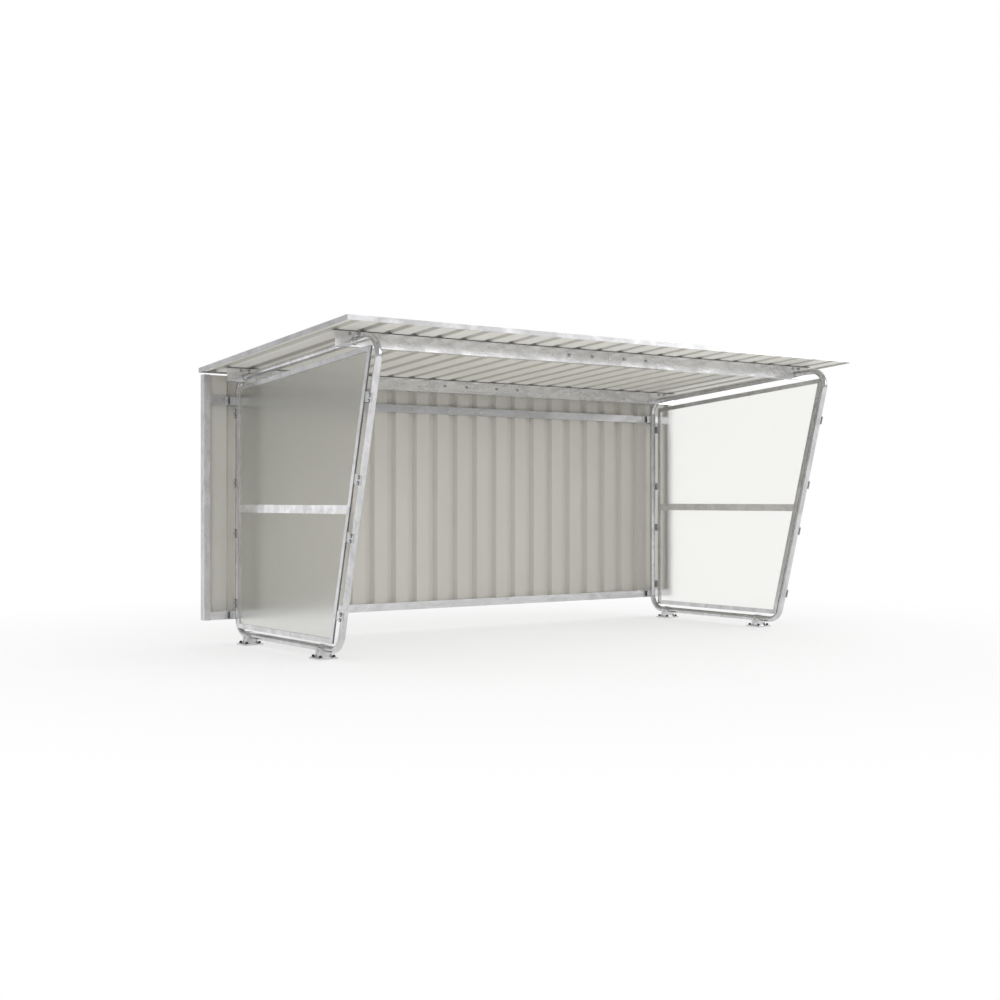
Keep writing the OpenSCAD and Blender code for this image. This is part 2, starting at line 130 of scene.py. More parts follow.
ROOM_DIM, ROOM_BRIGHT = 0.69, 1.06
BRIGHT_WAY = (0.55, -0.83, 0.0)
BRIGHT_FROM, BRIGHT_TO = -1.0, 0.6
SHINE_DIM, SHINE_BRIGHT, BACKDROP = 0.44, 2.0, 1.0
SCREEN_WAY = (0.42, -0.907, 0.0)
SCREEN_EDGE, SCREEN_FULL = 0.74, 0.92
SCREEN_FOOT, SCREEN_BODY = 0.06, 0.20
BACK_EDGE, BACK_FULL = 0.0, 0.3
BACK_TOP_FROM, BACK_TOP_TO = 0.03, 0.13
room = bpy.data.worlds.new("room")
room.use_nodes = True
scene.world = room
tree = room.node_tree
tree.nodes.clear()
path = tree.nodes.new("ShaderNodeLightPath")
seen = joined(tree, "MAXIMUM", path, "Is Camera Ray", path, "Is Transmission Ray")
coord = tree.nodes.new("ShaderNodeTexCoord")
side = turned_towards(tree, coord, BRIGHT_WAY)
room_tone = ramp(tree, side, "Value", BRIGHT_FROM, BRIGHT_TO, ROOM_DIM, ROOM_BRIGHT)
lit_room = white_light(tree, "ShaderNodeBackground")
wire(tree, room_tone, "Result", lit_room, "Strength")

sector = turned_towards(tree, coord, SCREEN_WAY)
across = ramp(tree, sector, "Value", SCREEN_EDGE, SCREEN_FULL, 0.0, SHINE_BRIGHT - SHINE_DIM)
apart = tree.nodes.new("ShaderNodeSeparateXYZ")
wire(tree, coord, "Generated", apart, "Vector")
high = ramp(tree, apart, "Z", SCREEN_FOOT, SCREEN_BODY, 0.0, 1.0)
screen = joined(tree, "MULTIPLY_ADD", across, "Result", high, "Result")
screen.inputs[2].default_value = SHINE_DIM
behind = ramp(tree, apart, "Y", BACK_EDGE, BACK_FULL, 0.0, BACKDROP - SHINE_DIM)
low = ramp(tree, apart, "Z", BACK_TOP_FROM, BACK_TOP_TO, 1.0, 0.0)
shine = joined(tree, "MULTIPLY_ADD", behind, "Result", low, "Result")
wire(tree, screen, 0, shine, 2)
shine_room = white_light(tree, "ShaderNodeBackground")
wire(tree, shine, 0, shine_room, "Strength")
by_shine = chosen(tree, path, "Is Glossy Ray", lit_room, shine_room)
white_room = white_light(tree, "ShaderNodeBackground")
white_room.inputs["Strength"].default_value = 1.0
out = tree.nodes.new("ShaderNodeOutputWorld")
wire(tree, chosen(tree, seen, 0, by_shine, white_room), 0, out, "Surface")

FLOOR_HALF = 120.0
FLOOR_TONE = 0.95
FLOOR_WHITE = 0.60
FADE_FROM, FADE_TO = 2.0, 6.5
bm = bmesh.new()
bmesh.ops.create_grid(bm, x_segments=1, y_segments=1, size=FLOOR_HALF)
floor_mesh = bpy.data.meshes.new("floor")
bm.to_mesh(floor_mesh)
bm.free()
floor = bpy.data.objects.new("floor", floor_mesh)
scene.collection.objects.link(floor)
floor_look = bpy.data.materials.new("floor")
floor_look.use_nodes = True
tree = floor_look.node_tree
tree.nodes.clear()
coord = tree.nodes.new("ShaderNodeTexCoord")
far_off = tree.nodes.new("ShaderNodeVectorMath")
far_off.operation = "LENGTH"
wire(tree, coord, "Object", far_off, 0)
fade = ramp(tree, far_off, "Value", FADE_FROM, FADE_TO, FLOOR_WHITE, 1.0)
path = tree.nodes.new("ShaderNodeLightPath")
seen = joined(tree, "MAXIMUM", path, "Is Camera Ray", path, "Is Transmission Ray")
seen = joined(tree, "MAXIMUM", seen, 0, path, "Is Glossy Ray")
white_part = joined(tree, "MULTIPLY", fade, "Result", seen, 0)
matt = tree.nodes.new("ShaderNodeBsdfDiffuse")
matt.inputs["Color"].default_value = (FLOOR_TONE, FLOOR_TONE, FLOOR_TONE, 1.0)
white = white_light(tree, "ShaderNodeEmission")
white.inputs["Strength"].default_value = 1.0
out = tree.nodes.new("ShaderNodeOutputMaterial")
wire(tree, chosen(tree, white_part, 0, matt, white), 0, out, "Surface")
floor_mesh.materials.append(floor_look)

LAMP_AT, LAMP_AIM = (11.0, -7.5, 5.5), (0.0, 0.0, 1.2)
LAMP_W, LAMP_H, LAMP_WATTS = 3.0, 1.5, 200.0
lamp = bpy.data.lights.new("side_lamp", "AREA")
lamp.shape = "RECTANGLE"
lamp.size = LAMP_W
lamp.size_y = LAMP_H
lamp.energy = LAMP_WATTS
stand = bpy.data.objects.new("side_lamp", lamp)
stand.location = LAMP_AT
stand.rotation_euler = (Vector(LAMP_AIM) - Vector(LAMP_AT)).to_track_quat("-Z", "Y").to_euler()
scene.collection.objects.link(stand)

# ---- Feet ----
# Four welded steel feet, galvanised after welding: a base plate held down by four anchors,
# and an upright block that the bottom rail lies in, with one through bolt below the rail.
# Each anchor's nut has a moulded black cap over it and a plain washer below it.
ZINC_DARK = (0.56, 0.56, 0.565, 1.0)
ZINC_LIGHT = (0.77, 0.77, 0.785, 1.0)
CLOUD_PER_M = 6.0
CRYSTAL_PER_M = 70.0
CRYSTAL_SHARE = 0.10
DARK_BELOW, LIGHT_ABOVE = 0.34, 0.74
DULL_BELOW, SMOOTH_ABOVE = 0.30, 0.80


def new_look(name):
    look = bpy.data.materials.new(name)
    look.use_nodes = True
    tree = look.node_tree
    return look, tree, tree.nodes["Principled BSDF"], tree.nodes.new("ShaderNodeTexCoord")


def speckle(tree, source, out_name, per_m, detail=2.0):
    spots = tree.nodes.new("ShaderNodeTexNoise")
    spots.inputs["Scale"].default_value = per_m
    spots.inputs["Detail"].default_value = detail
    wire(tree, source, out_name, spots, "Vector")
    return spots


def two_tones(tree, spots, tone_a, tone_b):
    tone = tree.nodes.new("ShaderNodeMix")
    tone.data_type = "RGBA"
    tone.inputs["A"].default_value = tone_a
    tone.inputs["B"].default_value = tone_b
    wire(tree, spots, "Fac", tone, "Factor")
    return tone


def relief(tree, skin, height, out_name, strength, depth):
    bump = tree.nodes.new("ShaderNodeBump")
    bump.inputs["Strength"].default_value = strength
    bump.inputs["Distance"].default_value = depth
    wire(tree, height, out_name, bump, "Height")
    wire(tree, bump, "Normal", skin, "Normal")


def toned(colour, tone):
    return (colour[0] * tone, colour[1] * tone, colour[2] * tone, 1.0)


def zinc_coat(name, start, stretch=(1.0, 1.0, 1.0), metal=0.85, smooth=0.24, dull=0.40, tone=1.0):
    coat, tree, skin, coord = new_look(name)
    place = tree.nodes.new("ShaderNodeMapping")
    place.inputs["Location"].default_value = start
    place.inputs["Scale"].default_value = stretch
    wire(tree, coord, "Object", place, "Vector")
    cloud = speckle(tree, place, "Vector", CLOUD_PER_M, detail=5.0)
    cloud.inputs["Roughness"].default_value = 0.55
    cloud.inputs["Distortion"].default_value = 1.4
    crystal = tree.nodes.new("ShaderNodeTexVoronoi")
    crystal.inputs["Scale"].default_value = CRYSTAL_PER_M
    wire(tree, place, "Vector", crystal, "Vector")
    shade = tree.nodes.new("ShaderNodeSeparateColor")
    wire(tree, crystal, "Color", shade, "Color")
    blend = tree.nodes.new("ShaderNodeMath")
    blend.operation = "MULTIPLY_ADD"
    blend.inputs[1].default_value = CRYSTAL_SHARE
    wire(tree, shade, "Red", blend, 0)
    wire(tree, cloud, "Fac", blend, 2)
    colour = tree.nodes.new("ShaderNodeValToRGB")
    colour.color_ramp.elements[0].position = DARK_BELOW
    colour.color_ramp.elements[0].color = toned(ZINC_DARK, tone)
    colour.color_ramp.elements[1].position = LIGHT_ABOVE
    colour.color_ramp.elements[1].color = toned(ZINC_LIGHT, tone)
    wire(tree, blend, 0, colour, "Fac")
    wire(tree, colour, "Color", skin, "Base Color")
    rough = ramp(tree, blend, 0, DULL_BELOW, SMOOTH_ABOVE, dull, smooth, smooth=False)
    wire(tree, rough, "Result", skin, "Roughness")
    skin.inputs["Metallic"].default_value = metal
    relief(tree, skin, blend, 0, strength=0.05, depth=0.001)
    return coat


def dress(names, look):
    for name in names:
        for place in shelter[name].material_slots:
            place.material = look


def turned_to(at, out):
    spin = Vector((0, 0, 1)).rotation_difference(Vector(out)).to_matrix().to_4x4()
    return Matrix.Translation(Vector(at)) @ spin


def add_disc(bm, place, radius, depth, base=0.0, sides=20, top_radius=None, edge=0.0):
    lift = Matrix.Translation((0, 0, base + depth / 2))
    made = bmesh.ops.create_cone(bm, cap_ends=True, segments=sides, radius1=radius,
                                 radius2=radius if top_radius is None else top_radius,
                                 depth=depth, matrix=place @ lift)
    if edge:
        away = place.to_3x3() @ Vector((0, 0, 1))
        middle = place @ Vector((0, 0, base + depth / 2))
        rim = [e for v in made["verts"] for e in v.link_edges
               if all((p.co - middle).dot(away) > depth / 4 for p in e.verts)]
        bmesh.ops.bevel(bm, geom=list(dict.fromkeys(rim)), offset=edge, segments=2, profile=0.5,
                        affect="EDGES", material=-1)


THIN_EDGE, SOFT_EDGE = 0.0006, 0.0008


def add_hex_bolt(bm, at, out, across, head, washer, washer_t=0.0025):
    place = turned_to(at, out)
    add_disc(bm, place, washer, washer_t, edge=THIN_EDGE)
    add_disc(bm, place, across / math.sqrt(3), head, base=washer_t, sides=6, edge=0.0015)


def add_round_bolt(bm, at, out, radius, head, washer, washer_t=0.002):
    place = turned_to(at, out)
    add_disc(bm, place, washer, washer_t, edge=THIN_EDGE)
    add_disc(bm, place, radius, head, base=washer_t, top_radius=radius * 0.72, edge=head * 0.45)


def add_bar(bm, middle, size):
    verts = bmesh.ops.create_cube(bm, size=1.0)["verts"]
    bmesh.ops.scale(bm, vec=size, verts=verts)
    bmesh.ops.translate(bm, vec=middle, verts=verts)


CREASE = math.radians(32)


def make_piece(name, bm, look):
    mesh = bpy.data.meshes.new(name)
    bm.to_mesh(mesh)
    bm.free()
    mesh.polygons.foreach_set("use_smooth", [True] * len(mesh.polygons))
    mesh.set_sharp_from_angle(angle=CREASE)
    mesh.materials.append(look)
    piece = bpy.data.objects.new(name, mesh)
    scene.collection.objects.link(piece)
    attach(piece, "root")
    return piece


def middle_of(name):
    low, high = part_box(name)
    return [(low[i] + high[i]) / 2 for i in range(3)]


plate_zinc = zinc_coat("plate_zinc", (2.1, 0.4, 3.3))
bolt_zinc = zinc_coat("bolt_zinc", (6.3, 3.9, 2.8), metal=0.8, smooth=0.18, dull=0.30, tone=0.62)
feet = ["left_front_foot", "left_rear_foot", "right_front_foot", "right_rear_foot"]
dress(feet, plate_zinc)

PLATE_TOP = 0.010
BLOCK_W, BLOCK_D = 0.090, 0.074
STUD_R, STUD_UP = 0.006, 0.0178
WASHER_R, WASHER_T = 0.0135, 0.0025
CAP_R, CAP_H, CAP_TAPER, CAP_CROWN = 0.0112, 0.013, 0.86, 0.004
BRIM_R, BRIM_T = 0.0132, 0.003
THROUGH_BOLT_Z = 0.058
THROUGH_BOLT = {"radius": 0.0120, "head": 0.007, "washer": 0.0155}
BEAD, BEAD_SUNK = 0.006, 0.0002
cap_look, tree, skin, coord = new_look("black_cap")
grain = speckle(tree, coord, "Object", 700.0)
tone = two_tones(tree, grain, (0.012, 0.012, 0.012, 1.0), (0.030, 0.030, 0.030, 1.0))
wire(tree, tone, "Result", skin, "Base Color")
skin.inputs["Roughness"].default_value = 0.42
relief(tree, skin, grain, "Fac", strength=0.15, depth=0.0002)

mounts = {m["name"]: m for m in frame["record"]["mounts"]}
for foot in feet:
    mid_x, mid_y = middle_of(foot)[:2]
    half = mounts[foot.replace("_foot", "_anchors")]["dims"]["spacing_x_mm"] / 2000
    corners = [(mid_x + sx * half, mid_y + sy * half) for sx in (-1, 1) for sy in (-1, 1)]
    bm = bmesh.new()
    caps = bmesh.new()
    for x, y in corners:
        stud = Matrix.Translation((x, y, 0))
        add_disc(bm, stud, STUD_R, STUD_UP)
        add_disc(bm, stud, WASHER_R, WASHER_T, base=PLATE_TOP, edge=THIN_EDGE)
        add_disc(caps, stud, BRIM_R, BRIM_T, base=PLATE_TOP + WASHER_T, edge=SOFT_EDGE)
        add_disc(caps, stud, CAP_R, CAP_H, base=PLATE_TOP + WASHER_T + BRIM_T,
                 top_radius=CAP_R * CAP_TAPER, edge=CAP_CROWN)
    for way in (-1, 1):
        face = (mid_x + way * BLOCK_W / 2, mid_y, THROUGH_BOLT_Z)
        add_round_bolt(bm, face, (way, 0, 0), **THROUGH_BOLT)
    make_piece(foot.replace("_foot", "_anchor_bolts"), bm, plate_zinc)
    make_piece(foot.replace("_foot", "_anchor_caps"), caps, cap_look)
    bead = bmesh.new()
    add_bar(bead, (mid_x, mid_y, PLATE_TOP + BEAD / 2 - BEAD_SUNK),
            (BLOCK_W + BEAD * 2, BLOCK_D + BEAD * 2, BEAD))
    upper = [e for e in bead.edges if all(v.co.z > PLATE_TOP + BEAD / 2 for v in e.verts)]
    bmesh.ops.bevel(bead, geom=upper, offset=BEAD * 0.85, segments=3, profile=0.5,
                    affect="EDGES", material=-1)
    make_piece(foot.replace("_foot", "_foot_weld"), bead, plate_zinc)

# ---- Side frames ----
# Two closed loops of round steel tube, each bent at its four corners, welded end to end
# and galvanised. The tube is the glossiest zinc on the shelter.
tube_zinc = zinc_coat("tube_zinc", (0.3, 1.7, 0.2), stretch=(1.0, 1.0, 0.6), metal=0.97,
                      smooth=0.09, dull=0.16, tone=0.94)
dress(["left_side_frame", "right_side_frame"], tube_zinc)

# ---- Rail straps ----
# Half-round straps of bent flat steel hold the bottom rails down on the feet, with one
# hexagon bolt through each ear into the foot.
dress(["rail_straps"], plate_zinc)
EAR_TOP = 0.0781
EAR_BOLT = 0.0372
STRAP_BOLT = {"across": 0.013, "head": 0.0055, "washer": 0.0077, "washer_t": 0.0016}
bm = bmesh.new()
for foot in feet:
    mid_x, mid_y = middle_of(foot)[:2]
    for way in (-1, 1):
        add_hex_bolt(bm, (mid_x + way * EAR_BOLT, mid_y, EAR_TOP), (0, 0, 1), **STRAP_BOLT)
make_piece("strap_bolts", bm, bolt_zinc)

# ---- Side panels ----
# A mitred frame of thin drawn channel on the outer side of each loop, with a bar across
# the middle. Both are galvanised and smoother than the heavy pieces. The bar is painted a little
# paler, as painted light for the bright reflection it shows.
panel_zinc = zinc_coat("panel_zinc", (7.7, 2.4, 1.1), metal=0.85, smooth=0.18, dull=0.30)
dress(["left_panel_frame", "right_panel_frame"], panel_zinc)
# Painted light: the bar's zinc is toned paler for the bright reflection it shows.
bar_painted_light_zinc = zinc_coat("bar_painted_light_zinc", (2.7, 5.4, 0.6), metal=0.75, smooth=0.18, dull=0.30, tone=1.22)
dress(["left_panel_bar", "right_panel_bar"], bar_painted_light_zinc)

# ---- Panes ----
# Frosted translucent sheet, 4 mm thick, with painted shade that darkens it when seen at a slant.
# A thin grey rubber gasket holds it in the grooves of the panel frame and shows as a narrow line
# round it.
FROST_PER_M = 140.0
FROST_SHARE = 0.06
PANE_CLEAREST, PANE_DULLEST = 0.22, 0.27
SLANT_FROM, SLANT_TO = 0.36, 0.63
# Painted shade: the slanted tone darkens the pane, standing for the shaded inside seen through
# it.
PANE_FACE_ON, PANE_SLANTED_SHADE = (0.97, 0.97, 0.95, 1.0), (0.575, 0.58, 0.54, 1.0)
pane_look, tree, skin, coord = new_look("frosted_pane")
skin.inputs["Transmission Weight"].default_value = 0.97
skin.inputs["IOR"].default_value = 1.30
frost = speckle(tree, coord, "Object", FROST_PER_M, detail=4.0)
rough = ramp(tree, frost, "Fac", 0.0, 1.0, PANE_CLEAREST, PANE_DULLEST, smooth=False)
wire(tree, rough, "Result", skin, "Roughness")
slant = tree.nodes.new("ShaderNodeLayerWeight")
through = tree.nodes.new("ShaderNodeMath")
through.operation = "MULTIPLY_ADD"
through.inputs[1].default_value = FROST_SHARE
wire(tree, frost, "Fac", through, 0)
wire(tree, slant, "Facing", through, 2)
tone = tree.nodes.new("ShaderNodeValToRGB")
tone.color_ramp.elements[0].position = SLANT_FROM
tone.color_ramp.elements[0].color = PANE_FACE_ON
tone.color_ramp.elements[1].position = SLANT_TO
tone.color_ramp.elements[1].color = PANE_SLANTED_SHADE
wire(tree, through, 0, tone, "Fac")
wire(tree, tone, "Color", skin, "Base Color")
panes = ["left_lower_pane", "left_upper_pane", "right_lower_pane", "right_upper_pane"]
dress(panes, pane_look)

gasket_look, tree, skin, coord = new_look("grey_rubber")
grain = speckle(tree, coord, "Object", 300.0)
tone = two_tones(tree, grain, (0.10, 0.10, 0.095, 1.0), (0.15, 0.15, 0.14, 1.0))
wire(tree, tone, "Result", skin, "Base Color")
skin.inputs["Roughness"].default_value = 0.7

IN_GROOVE = 0.0078
GASKET_W, GASKET_T = 0.003, 0.009
JOIN = 1e-5
SAME_FACE = 1e-4


def solids_of(name):
    bm = bmesh.new()
    bm.from_mesh(shelter[name].data)
    bmesh.ops.remove_doubles(bm, verts=bm.verts, dist=JOIN)
    left = dict.fromkeys(bm.verts)
    found = []
    while left:
        waiting = [left.popitem()[0]]
        group = []
        while waiting:
            v = waiting.pop()
            group.append(v.co.copy())
            near = [p for p in (e.other_vert(v) for e in v.link_edges) if p in left]
            for p in dict.fromkeys(near):
                del left[p]
                waiting.append(p)
        found.append(group)
    bm.free()
    return found


for pane in panes:
    points = solids_of(pane)[0]
    plane_x = sum(p.x for p in points) / len(points)
    outer_x = max(p.x for p in points)
    ring = [p for p in points if outer_x - p.x < SAME_FACE]
    centre = sum(ring, Vector()) / len(ring)
    ring.sort(key=lambda p: math.atan2(p.z - centre.z, p.y - centre.y))
    bm = bmesh.new()
    face = bm.faces.new([bm.verts.new((plane_x - GASKET_T / 2, p.y, p.z)) for p in ring])
    bmesh.ops.inset_individual(bm, faces=[face], thickness=IN_GROOVE, use_even_offset=True)
    margin = [f for f in bm.faces if f != face]
    bmesh.ops.delete(bm, geom=margin, context="FACES")
    bmesh.ops.inset_individual(bm, faces=[face], thickness=GASKET_W, use_even_offset=True)
    bmesh.ops.delete(bm, geom=[face], context="FACES_ONLY")
    grown = bmesh.ops.extrude_face_region(bm, geom=list(bm.faces), use_keep_orig=True)
    moved = [g for g in grown["geom"] if isinstance(g, bmesh.types.BMVert)]
    bmesh.ops.translate(bm, vec=(GASKET_T, 0, 0), verts=moved)
    bmesh.ops.recalc_face_normals(bm, faces=bm.faces)
    make_piece(pane.replace("_pane", "_gasket"), bm, gasket_look)

# ---- Panel clips ----
# Flat plates from the posts into the slot round each panel frame. Two round-headed bolts
# hold each to its post, one above the other, on washers: black ones on the rear posts and
# dark grey ones on the front posts. The washers' dark colour is painted shade for the dark rim
# round each bolt head, darkest on the rear posts.
dress(["left_panel_clips", "right_panel_clips"], plate_zinc)
POST_LEAN = math.radians(14.7)
CLIP_PAST = 0.025
BOLT_IN, BOLT_UP = 0.006, 0.0195
CLIP_WASHER_R, CLIP_WASHER_T = 0.0135, 0.0030
CLIP_BOLT = {"radius": 0.0080, "head": 0.0070, "washer": 0.0092}
UP = Vector((0, 0, 1))
REARWARD = Vector((0, 1, 0))
UP_FRONT_POST = Vector((0, -math.sin(POST_LEAN), math.cos(POST_LEAN)))
IN_FROM_FRONT_POST = Vector((0, math.cos(POST_LEAN), math.sin(POST_LEAN)))
for side_name, way in (("left", -1), ("right", 1)):
    clips = solids_of(side_name + "_panel_clips")
    middle_y = sum(p.y for c in clips for p in c) / sum(len(c) for c in clips)
    bm = bmesh.new()
    washers = {True: bmesh.new(), False: bmesh.new()}
    for clip in clips:
        centre = sum(clip, Vector()) / len(clip)
        at_rear = centre.y > middle_y
        to_panel = -REARWARD if at_rear else IN_FROM_FRONT_POST
        along_post = UP if at_rear else UP_FRONT_POST
        back = min((p - centre).dot(to_panel) for p in clip)
        outer_x = max(p.x * way for p in clip) * way
        post_line = centre + to_panel * (back + CLIP_PAST + BOLT_IN)
        for up in (-BOLT_UP, BOLT_UP):
            at = post_line + along_post * up
            place = turned_to((outer_x, at.y, at.z), (way, 0, 0))
            add_disc(washers[at_rear], place, CLIP_WASHER_R, CLIP_WASHER_T, edge=SOFT_EDGE)
            add_round_bolt(bm, place @ (UP * CLIP_WASHER_T), (way, 0, 0), **CLIP_BOLT)
    make_piece(side_name + "_clip_bolts", bm, plate_zinc)
    # Painted shade: the washers' dark colour stands for the dark rim round each bolt head, darker
    # on the rear posts.
    make_piece(side_name + "_rear_clip_washers", washers[True], cap_look)
    make_piece(side_name + "_front_clip_washers", washers[False], gasket_look)

# ---- Purlins ----
# Two cold-rolled steel channels across the shelter under the roof, each in two lengths
# joined by a flat plate. They sit on cleats on the top rails, held by U-bolts. A thin dark
# strip along the top of each one's front face, just under the sheets, is painted shade for the
# shadow line there.
ROOF_PITCH = math.radians(4.1)
FLASHING_DROP = 0.035
front_edge = (0, cad_box[0][1] + FLASHING_DROP * math.sin(ROOF_PITCH), cad_box[1][2])
roof_place = Matrix.Translation(front_edge) @ Matrix.Rotation(-ROOF_PITCH, 4, "X")
roof_turn = roof_place.to_3x3()
roof_up = roof_turn @ UP
roof_front = roof_turn @ -REARWARD


def box_on_roof(name):
    points = [roof_place.inverted() @ v.co for v in shelter[name].data.vertices]
    low = [min(p[i] for p in points) for i in range(3)]
    high = [max(p[i] for p in points) for i in range(3)]
    return low, high


purlin_zinc = zinc_coat("purlin_zinc", (5.2, 1.1, 0.7), stretch=(0.6, 1.0, 1.5), metal=0.85,
                        smooth=0.20, dull=0.34, tone=1.12)
dress(["front_purlin_left", "front_purlin_right"], purlin_zinc)
dress(["rear_purlin_left", "rear_purlin_right"], purlin_zinc)
dress(["purlin_splices", "rail_cleats"], plate_zinc)
SPLICE_BOLTS = (-0.380, -0.157, 0.157, 0.380)
SPLICE_BOLT = {"across": 0.019, "head": 0.008, "washer": 0.0135}
CLEAT_BOLT_OUT, CLEAT_BOLT_DOWN = 0.034, 0.022
CLEAT_BOLT = {"across": 0.017, "head": 0.007, "washer": 0.012}
SHADE_STRIP_HALF, SHADE_STRIP_T, SHADE_STRIP_H = 2.316, 0.003, 0.006
tube_low, tube_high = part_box("right_side_frame")
rail_x = (tube_low[0] + tube_high[0]) / 2
tube_r = (tube_high[0] - tube_low[0]) / 2
for row in ("front", "rear"):
    low, high = box_on_roof(row + "_purlin_left")
    joint_x = (high[0] + box_on_roof(row + "_purlin_right")[0][0]) / 2
    web_y, mid_z = low[1], (low[2] + high[2]) / 2
    bm = bmesh.new()
    for x in SPLICE_BOLTS:
        at = roof_place @ Vector((joint_x + x, web_y, mid_z))
        add_hex_bolt(bm, at, roof_front, **SPLICE_BOLT)
    for end in (-rail_x, rail_x):
        for way in (-1, 1):
            out_x = end + way * CLEAT_BOLT_OUT
            at = roof_place @ Vector((out_x, web_y, high[2] - CLEAT_BOLT_DOWN))
            add_hex_bolt(bm, at, roof_front, **CLEAT_BOLT)
    make_piece(row + "_purlin_bolts", bm, bolt_zinc)
    # Painted shade: a thin dark strip standing for the shadow line under the sheets.
    shade_strip = bmesh.new()
    add_bar(shade_strip, (0, web_y - SHADE_STRIP_T / 2, high[2] - SHADE_STRIP_H / 2), (SHADE_STRIP_HALF * 2, SHADE_STRIP_T, SHADE_STRIP_H))
    bmesh.ops.bevel(shade_strip, geom=list(shade_strip.edges), offset=THIN_EDGE, segments=2, profile=0.5,
                    affect="EDGES", material=-1)
    bmesh.ops.transform(shade_strip, matrix=roof_place, verts=shade_strip.verts)
    make_piece(row + "_purlin_shade_strip", shade_strip, gasket_look)

# The U-bolts hang behind each purlin's web: a bent rod under the rail, its two legs up
# through the cleat's foot, with a nut and washer on each.
ROD_R = 0.004
CLEAT_T = 0.004
U_CLEAR = 0.0006
RAIL_IN_PURLIN, PURLIN_T, ROD_BEHIND = 0.015, 0.003, 0.022
LEG_PAST = 0.018
NUT_GAP = 0.0004
U_NUT = {"across": 0.013, "head": 0.0065, "washer": 0.0078, "washer_t": 0.0016}


def of_kind(geom, kind):
    return [g for g in geom if isinstance(g, kind)]


for row in ("front", "rear"):
    low, high = box_on_roof(row + "_purlin_left")
    rail_z = low[2] + RAIL_IN_PURLIN + tube_r
    rod_y = low[1] + PURLIN_T + ROD_BEHIND
    arc_r = tube_r + ROD_R + U_CLEAR
    leg = tube_r + CLEAT_T + LEG_PAST
    bm = bmesh.new()
    for end in (-rail_x, rail_x):
        centre = Vector((end, rod_y, rail_z))
        leg_top = roof_place @ Matrix.Translation(centre + Vector((arc_r, 0, leg)))
        section = bmesh.ops.create_circle(bm, segments=10, radius=ROD_R, matrix=leg_top)["verts"]
        rim = list(dict.fromkeys(e for v in section for e in v.link_edges))
        down = bmesh.ops.extrude_edge_only(bm, edges=rim)["geom"]
        verts = of_kind(down, bmesh.types.BMVert)
        bmesh.ops.translate(bm, vec=roof_up * -leg, verts=verts)
        rim = [e for e in of_kind(down, bmesh.types.BMEdge) if all(v in verts for v in e.verts)]
        turned = bmesh.ops.spin(bm, geom=rim, cent=roof_place @ centre,
                                axis=roof_turn @ REARWARD, dvec=(0, 0, 0),
                                angle=math.pi, steps=14, use_duplicate=False)["geom_last"]
        rim = of_kind(turned, bmesh.types.BMEdge)
        up = bmesh.ops.extrude_edge_only(bm, edges=rim)["geom"]
        bmesh.ops.translate(bm, vec=roof_up * leg, verts=of_kind(up, bmesh.types.BMVert))
        for way in (-1, 1):
            on_cleat = centre + Vector((way * arc_r, 0, tube_r + CLEAT_T + NUT_GAP))
            add_hex_bolt(bm, roof_place @ on_cleat, roof_up, **U_NUT)
    bmesh.ops.holes_fill(bm, edges=[e for e in bm.edges if e.is_boundary], sides=0)
    bmesh.ops.recalc_face_normals(bm, faces=bm.faces)
    make_piece(row + "_u_bolts", bm, bolt_zinc)

# ---- Roof sheets ----
# Coil-coated steel sheet, 0.8 mm thick, grey-white and satin on both faces. Rolled with
# ribs, lapped one rib over the next, and screwed through the pans to the purlins. Painted
# shade darkens the hollow undersides of the ribs.
# The roof's coat is painted lighter than the wall's coat of the same sheet: painted light for the
# light thrown up onto the underside.
ROOF_LIGHT, ROOF_DARK = (0.93, 0.915, 0.855, 1.0), (0.88, 0.865, 0.805, 1.0)
# Painted shade inside the rib hollows, seen from below.
RIB_PAINTED_SHADE = (0.60, 0.585, 0.53, 1.0)
RIB_SHADE_FROM, RIB_SHADE_TO = 0.0005, 0.006
COAT_SMOOTH, COAT_DULL = 0.38, 0.50


# Painted shade: darkens the downward faces inside the rib hollows, just above the pans'
# underside.
def add_rib_painted_shade(tree, coord, skin, clean, pan_under):
    level = tree.nodes.new("ShaderNodeMapping")
    level.inputs["Location"].default_value = -(roof_turn.inverted() @ roof_place.translation)
    level.inputs["Rotation"].default_value = (ROOF_PITCH, 0.0, 0.0)
    wire(tree, coord, "Object", level, "Vector")
    height = tree.nodes.new("ShaderNodeSeparateXYZ")
    wire(tree, level, "Vector", height, "Vector")
    inside = ramp(tree, height, "Z", pan_under + RIB_SHADE_FROM, pan_under + RIB_SHADE_TO, 0.0, 1.0,
                  smooth=False)
    facing = tree.nodes.new("ShaderNodeSeparateXYZ")
    wire(tree, coord, "Normal", facing, "Vector")
    below = tree.nodes.new("ShaderNodeMath")
    below.operation = "LESS_THAN"
    below.inputs[1].default_value = 0.0
    wire(tree, facing, "Z", below, 0)
    part = joined(tree, "MULTIPLY", inside, "Result", below, 0)
    shade_mix = tree.nodes.new("ShaderNodeMix")
    shade_mix.data_type = "RGBA"
    shade_mix.inputs["B"].default_value = RIB_PAINTED_SHADE
    wire(tree, part, 0, shade_mix, "Factor")
    wire(tree, clean, "Result", shade_mix, "A")
    wire(tree, shade_mix, "Result", skin, "Base Color")


